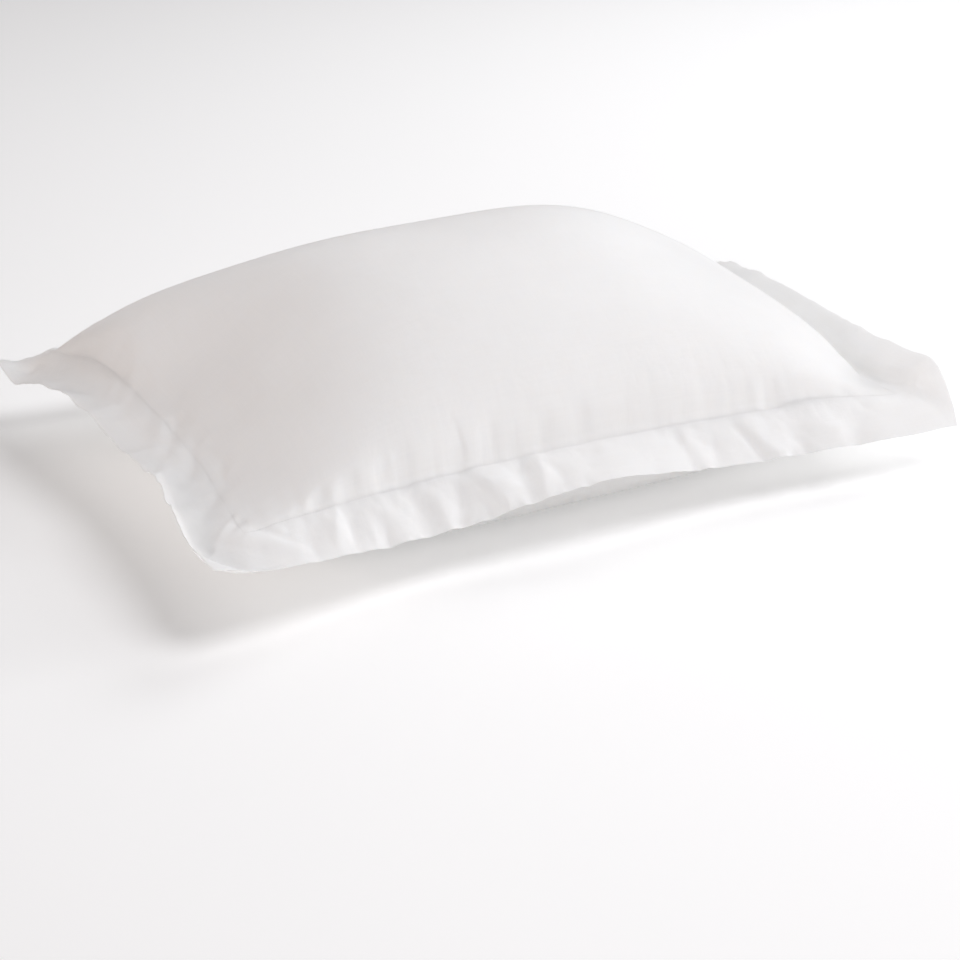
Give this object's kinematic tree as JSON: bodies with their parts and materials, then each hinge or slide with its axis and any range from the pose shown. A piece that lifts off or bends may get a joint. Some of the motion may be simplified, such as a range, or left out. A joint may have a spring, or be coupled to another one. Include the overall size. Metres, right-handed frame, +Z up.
{
  "type": "pillowcase",
  "caption": "Filled white cotton pillowcase lying on its back, with a flat flange all round outside its stitch line.",
  "frame": {"origin": "middle of the bounding box in plan, on the surface that the pillowcase rests on", "axes": "+X along the long side, +Y from the front long side to the back one, +Z up through the crown"},
  "size_m": [0.7938, 0.544, 0.2145],
  "materials": {
    "case_cotton": "matt plain-weave cotton, softly creased",
    "flange_cotton": "matt plain-weave cotton, pressed flat in two layers"
  },
  "bodies": {
    "root": {"filled_case": "case_cotton", "flange": "flange_cotton"}
  },
  "joints": []
}
